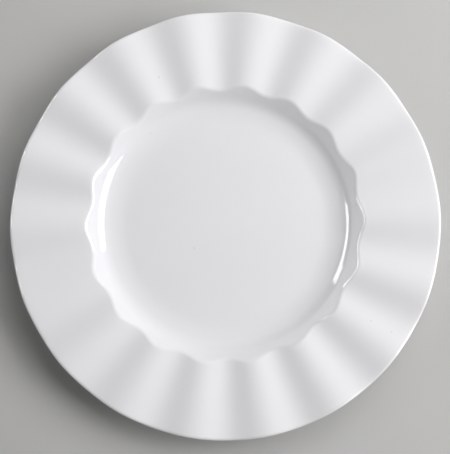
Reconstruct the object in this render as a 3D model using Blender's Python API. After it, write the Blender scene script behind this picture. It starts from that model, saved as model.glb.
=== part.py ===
# A white porcelain salad plate with a broad fluted rim.
# The clay body carries two coats of glaze: one over the face, the rim and the underside down to the
# foot, and one inside the foot ring. The foot's resting face is bare clay, which parts the two coats.
# The plate stands on z = 0 with its axis on +Z. Lengths are in metres.

import cmath
import math

import bmesh
import bpy

# The well: a flat floor that turns up through a gentle apron and a cove into a steep wall.
# Floor, apron and wall are taken as straight sides that meet in corners, and the corners are rounded.
FLOOR_RADIUS = 0.0531
APRON_RUN = 0.0079
APRON_RISE = 0.0020
WALL_RUN = 0.0063  # out to the mean edge of the well
WALL_RISE = 0.0061
LEAD_RADIUS = 0.0375  # rounding between floor and apron
COVE_RADIUS = 0.0130  # rounding between apron and wall
WELL_EDGE_RADIUS = 0.0036  # rounding between wall and rim

# The rim and its flutes, which run straight out from the plate's axis
RIM_WIDTH = 0.0377  # from the mean edge of the well to the outer edge
RIM_RISE = 0.0043  # how far the rim climbs over its width
FLUTE_COUNT = 18
FLUTE_DEPTH = 0.0030  # crest to hollow, at the outer edge
FLUTE_TURN = math.radians(1.3)  # angle of the first crest from +X

# Thickness over the glaze, and the outer edge
WALL_THICKNESS = 0.0042
EDGE_THICKNESS = 0.0034
EDGE_ROUNDING = 0.0014
UNDER_EDGE_RADIUS = 0.0080  # rounding under the edge of the well

# The foot ring
FOOT_HEIGHT = 0.0026
FOOT_WIDTH = 0.0055  # at its root
FOOT_TAPER = 0.0006  # how far each side leans in towards the resting face
FOOT_STEP = 0.0010  # how far the foot stands outside the corner under the cove
FOOT_FILLET = 0.0010  # rounding at its root
FOOT_ROUNDING = 0.0006  # rounding beside the resting face

# The glaze
GLAZE_THICKNESS = 0.0003
GLAZE_CLEARANCE = 0.0003  # between a coat and the clay that it covers
BARE_HEIGHT = 0.0011  # height of the foot that is left unglazed

# Fineness of the mesh
STEPS_PER_FLUTE = 6
LEAD_STEPS = 2
COVE_STEPS = 3
WELL_EDGE_STEPS = 2
EDGE_STEPS = 2
UNDER_EDGE_STEPS = 1
FOOT_STEPS = 1
SHARP_ANGLE = math.radians(40)
FILLET_SHARE = 0.97  # the most that two roundings may take of the side between them
LEAST_ROUNDING = 0.0001

# Places that follow from the sizes above
FLOOR_HEIGHT = FOOT_HEIGHT + WALL_THICKNESS
WALL_FOOT_RADIUS = FLOOR_RADIUS + APRON_RUN
WALL_FOOT_HEIGHT = FLOOR_HEIGHT + APRON_RISE
WELL_RADIUS = WALL_FOOT_RADIUS + WALL_RUN
WELL_EDGE_HEIGHT = WALL_FOOT_HEIGHT + WALL_RISE
PLATE_RADIUS = WELL_RADIUS + RIM_WIDTH
WALL_SLOPE = WALL_RISE / WALL_RUN
RIM_SLOPE = RIM_RISE / RIM_WIDTH
COAT_DEPTH = GLAZE_THICKNESS + GLAZE_CLEARANCE

# The rounding and its steps at each corner of the plate's section, from the floor out over the rim
# and back under to the root of the foot's inner side
ROUNDINGS = [
    (LEAD_RADIUS, LEAD_STEPS),
    (COVE_RADIUS, COVE_STEPS),
    (WELL_EDGE_RADIUS, WELL_EDGE_STEPS),
    (EDGE_ROUNDING, EDGE_STEPS),
    (EDGE_ROUNDING, EDGE_STEPS),
    (UNDER_EDGE_RADIUS, UNDER_EDGE_STEPS),
    (FOOT_FILLET, FOOT_STEPS),
    (FOOT_ROUNDING, FOOT_STEPS),
    (FOOT_ROUNDING, FOOT_STEPS),
    (FOOT_FILLET, FOOT_STEPS),
]
FOOT_OUTER_ROOT = 6  # places in that list
FOOT_INNER_ROOT = 9
FOOT_FACE = 8  # the side of the section that rests on the table


def meeting(first, second):
    """Where two lines of the section cross, each given as its slope and its height at the axis."""
    radius = (second[1] - first[1]) / (first[0] - second[0])
    return complex(radius, first[0] * radius + first[1])


def section_corners(angle):
    """Corners of the glazed section at an angle round the axis, as radius + height * 1j."""
    lift = FLUTE_DEPTH / 2 * math.cos(FLUTE_COUNT * (angle - FLUTE_TURN))
    wall = (WALL_SLOPE, WALL_FOOT_HEIGHT - WALL_SLOPE * WALL_FOOT_RADIUS)
    rim = (RIM_SLOPE + lift / PLATE_RADIUS, WELL_EDGE_HEIGHT - RIM_SLOPE * WELL_RADIUS)
    edge_radius = PLATE_RADIUS - lift * RIM_SLOPE  # the rim keeps its width as it swings up to a crest
    edge_height = rim[0] * edge_radius + rim[1]
    under_edge_height = edge_height - EDGE_THICKNESS

    under_wall = (wall[0], wall[1] - WALL_THICKNESS * math.hypot(1, WALL_SLOPE))
    under_well_height = rim[0] * WELL_RADIUS + rim[1] - WALL_THICKNESS * math.hypot(1, RIM_SLOPE)
    under_rim_slope = (under_edge_height - under_well_height) / (edge_radius - WELL_RADIUS)
    under_rim = (under_rim_slope, under_edge_height - under_rim_slope * edge_radius)

    base = (0, FOOT_HEIGHT)
    foot_radius = meeting(under_wall, base).real + FOOT_STEP
    foot_inner_radius = foot_radius - FOOT_WIDTH
    return [
        complex(0, FLOOR_HEIGHT),
        complex(FLOOR_RADIUS, FLOOR_HEIGHT),
        complex(WALL_FOOT_RADIUS, WALL_FOOT_HEIGHT),
        meeting(wall, rim),
        complex(edge_radius, edge_height),
        complex(edge_radius, under_edge_height),
        meeting(under_rim, under_wall),
        complex(foot_radius, under_wall[0] * foot_radius + under_wall[1]),
        complex(foot_radius - FOOT_TAPER, 0),
        complex(foot_inner_radius + FOOT_TAPER, 0),
        complex(foot_inner_radius, FOOT_HEIGHT),
        complex(0, FOOT_HEIGHT),
    ]


def side_directions(corners):
    return [(end - start) / abs(end - start) for start, end in zip(corners, corners[1:])]


def cross(first, second):
    return (first.conjugate() * second).imag


def inset_corners(corners, depths):
    """The corners after each side has moved into the plate by its own depth."""
    directions = side_directions(corners)
    moves = [-1j * direction * depth for direction, depth in zip(directions, depths)]
    moved = [corners[0] + moves[0]]
    for side in range(1, len(directions)):
        before, after = directions[side - 1], directions[side]
        along = cross(moves[side] - moves[side - 1], after) / cross(before, after)
        moved.append(corners[side] + moves[side - 1] + along * before)
    moved.append(corners[-1] + moves[-1])
    return moved


def arc(corner, before, after, radius, steps):
    """Points that round a corner between two directions."""
    turn = cmath.phase(after / before)
    start = corner - before * radius * math.tan(abs(turn) / 2)
    centre = start + before * 1j * math.copysign(radius, turn)
    return [centre + (start - centre) * cmath.exp(1j * turn * step / steps) for step in range(steps + 1)]


def fitted_radii(corners, turns):
    """Radii of the roundings, drawn in where two of them are too long for the side between them."""
    reaches = [radius * math.tan(abs(turn) / 2) for turn, (radius, steps) in zip(turns, ROUNDINGS)]
    fits = []
    for side, (first, second) in enumerate(zip([0] + reaches, reaches + [0])):
        length = abs(corners[side + 1] - corners[side])
        fits.append(min(1, FILLET_SHARE * length / (first + second)))
    return [radius * min(fits[place:place + 2]) for place, (radius, steps) in enumerate(ROUNDINGS)]


def section(angle, depth):
    """Rounded corners of the section, in lists of points, with its glazed sides moved in by depth."""
    corners = section_corners(angle)
    directions = side_directions(corners)
    turns = [cmath.phase(after / before) for before, after in zip(directions, directions[1:])]
    radii = fitted_radii(corners, turns)
    depths = [0 if side == FOOT_FACE else depth for side in range(len(directions))]
    moved = inset_corners(corners, depths)
    rounded = []
    for place, (radius, steps) in enumerate(ROUNDINGS):
        inset = math.copysign(min(depths[place:place + 2]), turns[place])
        kept = max(radii[place] + inset, LEAST_ROUNDING)
        rounded.append(arc(moved[place + 1], directions[place], directions[place + 1], kept, steps))
    return rounded


def bare_point(root, tip):
    """The end of a coat on a side of the foot, between the rounded root and the rounded tip."""
    share = (BARE_HEIGHT - tip.imag) / (root.imag - tip.imag)
    return tip + (root - tip) * share


def body_section(angle):
    return sum(section(angle, COAT_DEPTH), [])


def outer_glaze_section(angle):
    """Down over the outside of the coat to the foot, then back along its inside."""
    coats = []
    for depth in (0, GLAZE_THICKNESS):
        corners = section(angle, depth)
        root = corners[FOOT_OUTER_ROOT]
        tip = corners[FOOT_OUTER_ROOT + 1]
        coats.append(sum(corners[:FOOT_OUTER_ROOT + 1], []) + [bare_point(root[-1], tip[0])])
    return coats[0] + coats[1][::-1]


def base_glaze_section(angle):
    """Out along the inside of the coat and down the foot, then back along its outside."""
    coats = []
    for depth in (0, GLAZE_THICKNESS):
        corners = section(angle, depth)
        root = corners[FOOT_INNER_ROOT]
        tip = corners[FOOT_INNER_ROOT - 1]
        coats.append([bare_point(root[0], tip[-1])] + root)
    return coats[1][::-1] + coats[0]


def glazed_material(name, colour, roughness):
    material = bpy.data.materials.new(name)
    material.use_nodes = True
    shader = material.node_tree.nodes["Principled BSDF"]
    shader.inputs["Base Color"].default_value = (*colour, 1)
    shader.inputs["Roughness"].default_value = roughness
    shader.inputs["Metallic"].default_value = 0
    return material


def turned_piece(name, section_at, material):
    """A solid of rings round the axis, closed by a flat face at each end of its section."""
    mesh_builder = bmesh.new()
    count = FLUTE_COUNT * STEPS_PER_FLUTE
    columns = []
    for step in range(count):
        angle = FLUTE_TURN + 2 * math.pi * step / count
        across = (math.cos(angle), math.sin(angle))
        points = [(at.real * across[0], at.real * across[1], at.imag) for at in section_at(angle)]
        columns.append([mesh_builder.verts.new(point) for point in points])

    for column, following in zip(columns, columns[1:] + columns[:1]):
        for ring in range(len(column) - 1):
            inner, outer = column[ring], column[ring + 1]
            mesh_builder.faces.new((inner, outer, following[ring + 1]))
            mesh_builder.faces.new((inner, following[ring + 1], following[ring]))
    mesh_builder.faces.new([column[0] for column in columns])
    mesh_builder.faces.new([column[-1] for column in reversed(columns)])

    mesh = bpy.data.meshes.new(name)
    mesh_builder.to_mesh(mesh)
    mesh_builder.free()
    mesh.shade_smooth()
    mesh.set_sharp_from_angle(angle=SHARP_ANGLE)
    mesh.materials.append(material)
    piece = bpy.data.objects.new(name, mesh)
    bpy.context.scene.collection.objects.link(piece)
    return piece


def main():
    for item in list(bpy.data.objects):
        bpy.data.objects.remove(item, do_unlink=True)
    clay = glazed_material("fired_clay", (0.80, 0.77, 0.72), 0.75)
    face_glaze = glazed_material("white_glaze", (0.83, 0.83, 0.84), 0.08)
    recess_glaze = glazed_material("white_base_glaze", (0.82, 0.82, 0.83), 0.12)
    turned_piece("porcelain_body", body_section, clay)
    turned_piece("outer_glaze", outer_glaze_section, face_glaze)
    turned_piece("base_glaze", base_glaze_section, recess_glaze)


main()
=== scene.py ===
import cmath
import math

import bmesh
import bpy
from mathutils import Matrix, Vector, noise


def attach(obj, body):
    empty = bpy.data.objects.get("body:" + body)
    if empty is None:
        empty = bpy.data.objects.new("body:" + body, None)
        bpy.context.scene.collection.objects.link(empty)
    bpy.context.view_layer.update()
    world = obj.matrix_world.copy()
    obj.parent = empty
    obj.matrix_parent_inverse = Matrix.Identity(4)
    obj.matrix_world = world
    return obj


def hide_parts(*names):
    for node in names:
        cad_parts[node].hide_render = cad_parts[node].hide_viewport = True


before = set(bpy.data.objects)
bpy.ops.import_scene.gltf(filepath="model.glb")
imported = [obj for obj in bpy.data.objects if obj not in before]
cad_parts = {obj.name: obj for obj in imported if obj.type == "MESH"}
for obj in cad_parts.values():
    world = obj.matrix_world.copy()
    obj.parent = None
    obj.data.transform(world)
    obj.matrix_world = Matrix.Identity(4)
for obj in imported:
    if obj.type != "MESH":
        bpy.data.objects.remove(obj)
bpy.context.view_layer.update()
print("frame loaded:", ", ".join(sorted(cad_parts)))


# The plate's section, in metres, from the middle of the floor over the rim to the middle of the base
plate = {
    "radius": 0.10497,
    "floorRadius": 0.0531,
    "apronRun": 0.0079,        # the floor turns up into a gentle apron
    "apronRise": 0.0020,
    "leadRadius": 0.0375,      # between floor and apron
    "coveRadius": 0.0130,      # between apron and wall
    "wallRun": 0.0063,
    "wallRise": 0.0061,
    "wellEdgeRadius": 0.0036,  # between wall and rim
    "rimRise": 0.0042,
    "fluteCount": 18,
    "fluteDepth": 0.0030,      # crest to hollow at the outer edge
    "fluteTurn": math.radians(1.3),
    "wall": 0.0042,            # thickness of the plate
    "edge": 0.0034,            # thickness of its outer edge
    "edgeRounding": 0.0014,
    "underEdgeRadius": 0.0080,  # between rim and wall on the underside
    "footHeight": 0.0026,
    "footWidth": 0.0055,
    "footTaper": 0.0006,
    "footStep": 0.0010,
    "footFillet": 0.0010,
    "footRounding": 0.0006,
    "glaze": 0.0003,
    "clearance": 0.0003,       # between a coat and the clay
    "bareHeight": 0.0011,      # the coats end this far above the table
    "bareWave": 0.00015,       # how far the end of a coat wanders up and down
    "bareSwells": 8,           # swells of that wander in a radian round the foot
    "bareShift": 100,          # keeps the two coats from wandering alike
    "bead": 0.00012,           # the rounded end of a coat
    "eye": 0.0015,             # radius of the small closing face at the axis
}

# How the clay moved a little in drying and firing, in metres
sway = {
    "rim": 0.00008,
    "floor": 0.00004,
    "wave": 0.045,             # size of one swell
    "slice": 0.4,              # where in the noise the swells are read
    "floorEnd": 0.046,         # the floor's swell fades out here
    "rimStart": 0.066,         # and the rim's fades in from here
    "fade": 0.008,
}

# Steps in each rounding and each straight stretch
fineness = {
    "perFlute": 20,
    "lead": 8,
    "cove": 14,
    "wellEdge": 10,
    "edge": 7,
    "underEdge": 6,
    "foot": 4,
    "floorRings": 8,
    "wallRings": 3,
    "rimRings": 14,
    "sideShare": 0.97,         # the most that two roundings may take of the side between them
    "leastRounding": 0.0001,
    "sharpAngle": math.radians(50),
}

footFace = 8                   # the side of the section that stands on the table
footOuterRoot = 6              # corners of the section, counted from the floor's edge
footInnerRoot = 9

# How much glaze lies on a place: it runs off sharp edges and gathers in hollow corners, where its colour
# also carries a painted lavender shade tint
thinGlaze, evenGlaze, pooledGlaze = 0.0, 0.5, 1.0
buildLayer = "glazeBuild"


def meeting(first, second):
    # where two lines cross, each as slope and height at the axis
    radius = (second[1] - first[1]) / (first[0] - second[0])
    return complex(radius, first[0] * radius + first[1])


def sectionCorners(angle):
    # radius + height * 1j, over the glaze
    lift = plate["fluteDepth"] / 2 * math.cos(plate["fluteCount"] * (angle - plate["fluteTurn"]))
    floorHeight = plate["footHeight"] + plate["wall"]
    wallFoot = complex(plate["floorRadius"] + plate["apronRun"], floorHeight + plate["apronRise"])
    wellEdge = wallFoot + complex(plate["wallRun"], plate["wallRise"])
    wallSlope = plate["wallRise"] / plate["wallRun"]
    rimSlope = plate["rimRise"] / (plate["radius"] - wellEdge.real)
    wall = (wallSlope, wallFoot.imag - wallSlope * wallFoot.real)
    rim = (rimSlope + lift / plate["radius"], wellEdge.imag - rimSlope * wellEdge.real)
    # the rim keeps its width as it swings up to a crest
    edgeRadius = plate["radius"] - lift * rimSlope
    edgeHeight = rim[0] * edgeRadius + rim[1]
    underEdge = edgeHeight - plate["edge"]
    underWall = (wallSlope, wall[1] - plate["wall"] * math.hypot(1, wallSlope))
    underWell = rim[0] * wellEdge.real + rim[1] - plate["wall"] * math.hypot(1, rimSlope)
    underSlope = (underEdge - underWell) / (edgeRadius - wellEdge.real)
    underRim = (underSlope, underEdge - underSlope * edgeRadius)
    footRadius = meeting(underWall, (0, plate["footHeight"])).real + plate["footStep"]
    footInner = footRadius - plate["footWidth"]
    return [
        complex(0, floorHeight),
        complex(plate["floorRadius"], floorHeight),
        wallFoot,
        meeting(wall, rim),
        complex(edgeRadius, edgeHeight),
        complex(edgeRadius, underEdge),
        meeting(underRim, underWall),
        complex(footRadius, underWall[0] * footRadius + underWall[1]),
        complex(footRadius - plate["footTaper"], 0),
        complex(footInner + plate["footTaper"], 0),
        complex(footInner, plate["footHeight"]),
        complex(0, plate["footHeight"]),
    ]


# Radius and steps at each corner but the first and last, which lie on the axis
roundings = [
    (plate["leadRadius"], fineness["lead"]),
    (plate["coveRadius"], fineness["cove"]),
    (plate["wellEdgeRadius"], fineness["wellEdge"]),
    (plate["edgeRounding"], fineness["edge"]),
    (plate["edgeRounding"], fineness["edge"]),
    (plate["underEdgeRadius"], fineness["underEdge"]),
    (plate["footFillet"], fineness["foot"]),
    (plate["footRounding"], fineness["foot"]),
    (plate["footRounding"], fineness["foot"]),
    (plate["footFillet"], fineness["foot"]),
]


def cross(first, second):
    return (first.conjugate() * second).imag


def arc(corner, before, after, radius, steps):
    turn = cmath.phase(after / before)
    start = corner - before * radius * math.tan(abs(turn) / 2)
    centre = start + before * 1j * math.copysign(radius, turn)
    return [centre + (start - centre) * cmath.exp(1j * turn * step / steps) for step in range(steps + 1)]


def section(angle, depth):
    # the rounded corners, in lists of points, with the glazed sides moved in by depth
    corners = sectionCorners(angle)
    lengths = [abs(end - start) for start, end in zip(corners, corners[1:])]
    ways = [(end - start) / size for start, end, size in zip(corners, corners[1:], lengths)]
    depths = [0 if side == footFace else depth for side in range(len(ways))]
    moves = [-1j * way * inset for way, inset in zip(ways, depths)]
    turns = [cmath.phase(after / before) for before, after in zip(ways, ways[1:])]
    reaches = [radius * math.tan(abs(turn) / 2) for turn, (radius, _) in zip(turns, roundings)]
    fits = [
        min(1, fineness["sideShare"] * size / (first + second))
        for size, first, second in zip(lengths, [0] + reaches, reaches + [0])
    ]
    rounded = []
    for place, (radius, steps) in enumerate(roundings):
        before, after = ways[place], ways[place + 1]
        along = cross(moves[place + 1] - moves[place], after) / cross(before, after)
        corner = corners[place + 1] + moves[place] + along * before
        kept = radius * min(fits[place], fits[place + 1])
        inset = math.copysign(min(depths[place], depths[place + 1]), turns[place])
        rounded.append(arc(corner, before, after, max(kept + inset, fineness["leastRounding"]), steps))
    return rounded


def between(start, end, steps):
    # points inside a straight stretch, without its ends
    return [start + (end - start) * step / steps for step in range(1, steps)]


def barePoint(root, tip, angle):
    # where a coat ends on the foot's side, which runs from root down to tip
    spoke = cmath.rect(plate["bareSwells"], angle)
    swell = noise.noise((spoke.real, spoke.imag, root.real * plate["bareShift"]))
    height = plate["bareHeight"] + plate["bareWave"] * swell
    return tip + (root - tip) * (height - tip.imag) / (root.imag - tip.imag)


def glazed(points, build):
    return [(point, build) for point in points]


def facePath(angle, depth):
    # floor, cove, wall, rim, edge, underside and the foot down to its bare line
    corners = section(angle, depth)
    lead, cove, wellEdge, rimEdge, underEdge, underWell, root, tip = corners[:footOuterRoot + 2]
    eye = complex(plate["eye"], lead[0].imag)
    path = glazed([eye] + between(eye, lead[0], fineness["floorRings"]) + lead, evenGlaze)
    path += glazed(cove, pooledGlaze)
    path += glazed(between(cove[-1], wellEdge[0], fineness["wallRings"]), evenGlaze)
    path += glazed(wellEdge, thinGlaze)
    path += glazed(between(wellEdge[-1], rimEdge[0], fineness["rimRings"]), evenGlaze)
    path += glazed(rimEdge + underEdge[1:], thinGlaze)
    path += glazed(between(underEdge[-1], underWell[0], fineness["rimRings"]), evenGlaze)
    path += glazed(underWell, pooledGlaze)
    path += glazed(between(underWell[-1], root[0], fineness["wallRings"]), evenGlaze)
    path += glazed(root, pooledGlaze)
    path += glazed([barePoint(root[-1], tip[0], angle)], thinGlaze)
    return path


def basePath(angle, depth):
    # from the foot's bare line up its inner side and in to the middle
    corners = section(angle, depth)
    root, tip = corners[footInnerRoot], corners[footInnerRoot - 1]
    eye = complex(plate["eye"], root[-1].imag)
    path = glazed([barePoint(root[0], tip[-1], angle)], thinGlaze)
    path += glazed(root, pooledGlaze)
    path += glazed(between(root[-1], eye, fineness["floorRings"]) + [eye], evenGlaze)
    return path


def beadPoint(outside, inside):
    # a coat ends in a small round bead, not in a cut
    return ((outside + inside) / 2 - 1j * plate["bead"], thinGlaze)


def outerCoatSection(angle):
    outside = facePath(angle, 0)
    inside = facePath(angle, plate["glaze"])
    return outside + [beadPoint(outside[-1][0], inside[-1][0])] + inside[::-1]


def baseCoatSection(angle):
    outside = basePath(angle, 0)
    inside = basePath(angle, plate["glaze"])
    return inside[::-1] + [beadPoint(outside[0][0], inside[0][0])] + outside


def clayBodySection(angle):
    return glazed(sum(section(angle, plate["glaze"] + plate["clearance"]), []), evenGlaze)


def smoothStep(low, high, value):
    share = min(max((value - low) / (high - low), 0), 1)
    return share * share * (3 - 2 * share)


def swayAt(x, y):
    radius = math.hypot(x, y)
    onFloor = 1 - smoothStep(sway["floorEnd"] - sway["fade"], sway["floorEnd"], radius)
    onRim = smoothStep(sway["rimStart"], sway["rimStart"] + sway["fade"], radius)
    swell = noise.noise((x / sway["wave"], y / sway["wave"], sway["slice"]))
    return swell * (sway["floor"] * onFloor + sway["rim"] * onRim)


def turnedPiece(name, sectionAt, finish, replaced):
    # a closed section carried once round the axis, with a small face at each end
    builder = bmesh.new()
    layer = builder.verts.layers.float.new(buildLayer)
    count = plate["fluteCount"] * fineness["perFlute"]
    columns = []
    for step in range(count):
        angle = plate["fluteTurn"] + 2 * math.pi * step / count
        spoke = cmath.rect(1, angle)
        column = []
        for point, build in sectionAt(angle):
            x, y = point.real * spoke.real, point.real * spoke.imag
            vertex = builder.verts.new((x, y, point.imag + swayAt(x, y)))
            vertex[layer] = build
            column.append(vertex)
        columns.append(column)
    for column, following in zip(columns, columns[1:] + columns[:1]):
        for ring in range(len(column) - 1):
            builder.faces.new((column[ring], column[ring + 1], following[ring + 1], following[ring]))
    builder.faces.new([column[0] for column in columns])
    builder.faces.new([column[-1] for column in reversed(columns)])
    mesh = bpy.data.meshes.new(name)
    builder.to_mesh(mesh)
    builder.free()
    mesh.shade_smooth()
    mesh.set_sharp_from_angle(angle=fineness["sharpAngle"])
    mesh.materials.append(finish)
    piece = bpy.data.objects.new(name, mesh)
    bpy.context.scene.collection.objects.link(piece)
    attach(piece, "root")
    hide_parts(replaced)
    print("piece made:", name, len(mesh.polygons), "faces")


class Wire:
    def __init__(self, tree, socket=None):
        self.tree = tree
        self.socket = socket

    def node(self, kind, settings=None, inputs=None, output=0):
        made = self.tree.nodes.new(kind)
        for name, value in (settings or {}).items():
            setattr(made, name, value)
        for name, value in (inputs or {}).items():
            if isinstance(value, Wire):
                self.tree.links.new(value.socket, made.inputs[name])
            else:
                made.inputs[name].default_value = value
        return Wire(self.tree, made.outputs[output] if len(made.outputs) else None)

    def maths(self, operation, first, second):
        return self.node("ShaderNodeMath", {"operation": operation}, {0: first, 1: second})

    def __add__(self, other):
        return self.maths("ADD", self, other)

    def __radd__(self, other):
        return self.maths("ADD", other, self)

    def __sub__(self, other):
        return self.maths("SUBTRACT", self, other)

    def __rsub__(self, other):
        return self.maths("SUBTRACT", other, self)

    def __mul__(self, other):
        return self.maths("MULTIPLY", self, other)

    def __rmul__(self, other):
        return self.maths("MULTIPLY", other, self)

    def ease(self, low, high, start=0.0, end=1.0):
        # a smooth step from start to end as the value goes from low to high
        return self.node("ShaderNodeMapRange", {"interpolation_type": "SMOOTHSTEP"}, {
            "Value": self, "From Min": low, "From Max": high, "To Min": start, "To Max": end})

    def tint(self, first, second):
        # first colour at 0, second at 1; the node's colours are sockets 6 and 7, and its mix is output 2
        return self.node("ShaderNodeMix", {"data_type": "RGBA"}, {0: self, 6: first, 7: second}, 2)

    def cloud(self, scale, detail):
        # noise about 0.5, in swells of 1 / scale metres
        return self.node("ShaderNodeTexNoise", None, {"Vector": self, "Scale": scale, "Detail": detail})

    def patches(self, scale, detail, low, high):
        # 1 where that noise is over high, 0 where it is under low
        return self.cloud(scale, detail).ease(low, high)

    def specks(self, scale, radius, core):
        # spots of that radius in metres, about 1 / scale metres apart, with core as their full dark share
        far = self.node("ShaderNodeTexVoronoi", None, {"Vector": self, "Scale": scale})
        return far.ease(radius * scale * core, radius * scale, 1, 0)

    def skin(self, depth):
        # a bump of that depth in metres
        return self.node("ShaderNodeBump", None, {"Strength": 1.0, "Distance": depth, "Height": self})


def newMaterial(name):
    material = bpy.data.materials.new(name)
    material.use_nodes = True
    tree = material.node_tree
    tree.nodes.clear()
    start = Wire(tree)
    return material, start, start.node("ShaderNodeTexCoord", output="Object")


def finishMaterial(start, inputs):
    shader = start.node("ShaderNodeBsdfPrincipled", None, inputs)
    start.node("ShaderNodeOutputMaterial", None, {"Surface": shader})


# Clear gloss glaze on white porcelain
faceGlaze = {
    "white": (0.835, 0.832, 0.853, 1),
    "cloudWhite": (0.828, 0.824, 0.852, 1),
    "clouds": {"scale": 28.0, "detail": 2.0, "low": 0.35, "high": 0.65},
    "thin": (0.836, 0.832, 0.850, 1),
    # Glaze gathered in the hollows: partly the thicker glaze, partly a painted lavender shade tint for
    # the shaded cove and wall of the well
    "pooledAndShade": (0.836, 0.829, 0.856, 1),
    "speck": (0.42, 0.40, 0.37, 1),
    "speckScale": 62.0,
    "speckRadius": 0.00042,
    "speckCore": 0.4,
    "speckStrength": 0.6,
    "roughness": 0.055,
    "roughnessSpread": 0.035,
    "duller": {"scale": 90.0, "detail": 4.0, "low": 0.4, "high": 0.75},
    "refraction": 1.5,
    "coat": 0.45,
    "coatRoughness": 0.03,
    "peelScale": 260.0,        # the orange-peel skin of the glaze
    "peelDetail": 1.0,
    "peelHeight": 0.000010,
}

# The coat inside the foot is a little greyer and duller
recessGlaze = dict(
    faceGlaze,
    white=(0.820, 0.818, 0.830, 1),
    speckScale=110.0,
    roughness=0.09,
    coatRoughness=0.08,
    peelHeight=0.000020,
)


def glazeMaterial(name, look):
    material, start, place = newMaterial(name)
    build = start.node("ShaderNodeAttribute", {"attribute_name": buildLayer}, output="Fac")
    colour = place.patches(**look["clouds"]).tint(look["white"], look["cloudWhite"])
    colour = build.ease(thinGlaze, evenGlaze).tint(look["thin"], colour)
    # the hollows take the pooled colour, which also carries painted lavender shade
    colour = build.ease(evenGlaze, pooledGlaze).tint(colour, look["pooledAndShade"])
    specks = place.specks(look["speckScale"], look["speckRadius"], look["speckCore"])
    colour = (specks * look["speckStrength"]).tint(colour, look["speck"])
    roughness = look["roughness"] + place.patches(**look["duller"]) * look["roughnessSpread"]
    peel = place.cloud(look["peelScale"], look["peelDetail"])
    finishMaterial(start, {
        "Base Color": colour, "Roughness": roughness, "Normal": peel.skin(look["peelHeight"]),
        "IOR": look["refraction"], "Coat Weight": look["coat"], "Coat Roughness": look["coatRoughness"]})
    return material


# Bare fired clay at the foot, greyed where it has slid on shelves
bareClay = {
    "clay": (0.74, 0.70, 0.64, 1),
    "paleClay": (0.80, 0.77, 0.72, 1),
    "paleLimits": (0.3, 0.7),  # of the grain, from clay to pale clay
    "rubbed": (0.50, 0.48, 0.45, 1),
    "rubPatches": {"scale": 70.0, "detail": 3.0, "low": 0.5, "high": 0.7},
    "rubScuffs": {"scale": 700.0, "detail": 2.0, "low": 0.4, "high": 0.6},
    "rubStrength": 0.5,
    "roughness": 0.72,
    "roughnessSpread": 0.2,
    "grainScale": 2600.0,
    "grainDetail": 3.0,
    "grainHeight": 0.00003,
}


def clayMaterial(name, look):
    material, start, place = newMaterial(name)
    grain = place.cloud(look["grainScale"], look["grainDetail"])
    colour = grain.ease(*look["paleLimits"]).tint(look["clay"], look["paleClay"])
    rubbed = place.patches(**look["rubPatches"]) * place.patches(**look["rubScuffs"])
    colour = (rubbed * look["rubStrength"]).tint(colour, look["rubbed"])
    roughness = look["roughness"] + grain * look["roughnessSpread"]
    finishMaterial(start, {
        "Base Color": colour, "Roughness": roughness, "Normal": grain.skin(look["grainHeight"])})
    return material


turnedPiece(
    "outerCoat", outerCoatSection, glazeMaterial("faceGlaze", faceGlaze),
    replaced="outer_glaze")
turnedPiece(
    "baseCoat", baseCoatSection, glazeMaterial("recessGlaze", recessGlaze),
    replaced="base_glaze")
turnedPiece(
    "clayBody", clayBodySection, clayMaterial("bareClay", bareClay),
    replaced="porcelain_body")


def cameraAndMirrorRays(start):
    return [start.node("ShaderNodeLightPath", output=ray) for ray in ("Is Camera Ray", "Is Glossy Ray")]


# A plain table, in metres. Beyond the lamps' reach it is seen in its own colour.
table = {
    "size": 12.0,
    "grey": (0.518, 0.515, 0.508, 1),
    "roughness": 0.8,
    "near": 0.22,              # from here the plain colour takes over from the light and shade
    "far": 0.55,               # and from here there is only the plain colour
}


def makeTable():
    builder = bmesh.new()
    bmesh.ops.create_grid(builder, x_segments=1, y_segments=1, size=table["size"] / 2)
    mesh = bpy.data.meshes.new("table")
    builder.to_mesh(mesh)
    builder.free()
    material, start, place = newMaterial("tableGrey")
    lit = start.node("ShaderNodeBsdfPrincipled", None, {
        "Base Color": table["grey"], "Roughness": table["roughness"]})
    plain = start.node("ShaderNodeEmission", None, {"Color": table["grey"]})
    reach = start.node("ShaderNodeVectorMath", {"operation": "LENGTH"}, {0: place}, "Value")
    seen, mirrored = cameraAndMirrorRays(start)
    share = (seen + mirrored) * reach.ease(table["near"], table["far"])
    top = start.node("ShaderNodeMixShader", None, {0: share, 1: lit, 2: plain})
    start.node("ShaderNodeOutputMaterial", None, {"Surface": top})
    mesh.materials.append(material)
    piece = bpy.data.objects.new("table", mesh)
    bpy.context.scene.collection.objects.link(piece)


makeTable()
print("table made")

# Degrees round from +X and up from the table, then metres and watts. Some lamps give light but aren't
# mirrored, and the two strips at the left are only mirrored.
lamps = {
    "key": {
        "azimuth": -3.93, "elevation": 32.9, "distance": 1.183, "size": (0.806, 0.538), "roll": 11,
        "watts": 11.48, "lights": True, "mirrored": True,
    },
    "side": {
        "azimuth": 45, "elevation": 52, "distance": 0.7, "size": (0.7, 0.5), "roll": 0,
        "watts": 2.91, "lights": True, "mirrored": False,
    },
    "leftFill": {
        "azimuth": 165.5, "elevation": 40, "distance": 1.0, "size": (0.49, 0.21), "roll": 0,
        "watts": 0.82, "lights": True, "mirrored": False,
    },
    "leftUpper": {
        "azimuth": 165.5, "elevation": 40, "distance": 0.9, "size": (0.44, 0.19), "roll": 0,
        "watts": 2.3, "lights": False, "mirrored": True,
    },
    "leftLower": {
        "azimuth": 151.5, "elevation": 29, "distance": 0.9, "size": (0.125, 0.155), "roll": 0,
        "watts": 0.42, "lights": False, "mirrored": True,
    },
}


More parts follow.
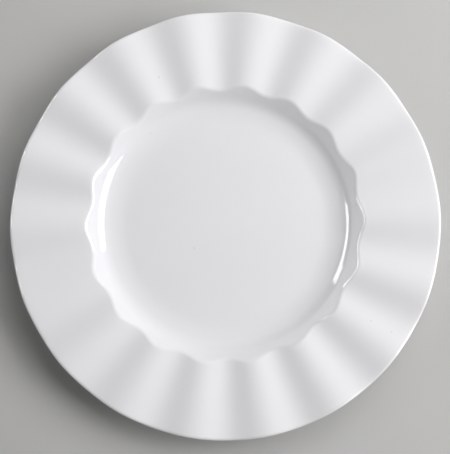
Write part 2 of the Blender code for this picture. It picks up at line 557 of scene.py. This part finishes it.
def makeLamp(name, lamp):
    azimuth, elevation = math.radians(lamp["azimuth"]), math.radians(lamp["elevation"])
    spoke = Vector((math.cos(azimuth), math.sin(azimuth), 0))
    toward = spoke * math.cos(elevation) + Vector((0, 0, math.sin(elevation)))
    level = Vector((-spoke.y, spoke.x, 0))
    turn = Matrix((level, toward.cross(level), toward)).transposed().to_4x4()
    roll = Matrix.Rotation(math.radians(lamp["roll"]), 4, "Z")
    data = bpy.data.lights.new(name, "AREA")
    data.shape = "RECTANGLE"
    data.size, data.size_y = lamp["size"]
    data.energy = lamp["watts"]
    piece = bpy.data.objects.new(name, data)
    piece.matrix_world = Matrix.Translation(toward * lamp["distance"]) @ turn @ roll
    piece.visible_diffuse = lamp["lights"]
    piece.visible_glossy = lamp["mirrored"]
    bpy.context.scene.collection.objects.link(piece)


for lampName, lamp in lamps.items():
    makeLamp(lampName, lamp)
print("lamps made:", ", ".join(lamps))

# A pale room that is only seen and mirrored, and a soft glow low down at the left that gives light too
room = {
    "grey": (1, 0.995, 0.985, 1),
    "pale": 0.50,              # strength of the pale room
    "glow": 1.967,             # strength of the glow at the horizon
    "top": 0.5,                # the glow ends where a way out rises this much
    "fullAt": -0.9,            # it is full where the way's X is this or less
    "goneAt": 0.1,             # and gone where it is this or more
}


def makeRoom():
    world = bpy.data.worlds.new("room")
    world.use_nodes = True
    world.node_tree.nodes.clear()
    start = Wire(world.node_tree)
    way = start.node("ShaderNodeTexCoord", output="Generated")
    right, up = [start.node("ShaderNodeSeparateXYZ", None, {"Vector": way}, axis) for axis in ("X", "Z")]
    glow = up.ease(0, room["top"], room["glow"], 0) * right.ease(room["fullAt"], room["goneAt"], 1, 0)
    seen, mirrored = cameraAndMirrorRays(start)
    strength = seen * room["pale"] + (1 - seen) * (glow + mirrored * room["pale"])
    light = start.node("ShaderNodeBackground", None, {"Color": room["grey"], "Strength": strength})
    start.node("ShaderNodeOutputWorld", None, {"Surface": light})
    bpy.context.scene.world = world


makeRoom()
print("room made")

# The camera looks down, leaning a little off the plate's axis
view = {
    "target": (0.00016, -0.00172, 0.010),
    "distance": 0.4447,
    "leanX": math.radians(1.6),
    "leanY": math.radians(-4.52),
    "lens": 71.1,              # millimetres, as is the sensor
    "sensor": 36,
}


def makeCamera():
    back = Vector((math.tan(view["leanX"]), math.tan(view["leanY"]), 1)).normalized()
    right = Vector((0, 1, 0)).cross(back).normalized()
    turn = Matrix((right, back.cross(right), back)).transposed().to_4x4()
    data = bpy.data.cameras.new("camera")
    data.sensor_width = view["sensor"]
    data.lens = view["lens"]
    camera = bpy.data.objects.new("camera", data)
    camera.matrix_world = Matrix.Translation(Vector(view["target"]) + back * view["distance"]) @ turn
    bpy.context.scene.collection.objects.link(camera)
    bpy.context.scene.camera = camera


makeCamera()
bpy.context.scene.view_settings.view_transform = "Standard"
print("camera made")
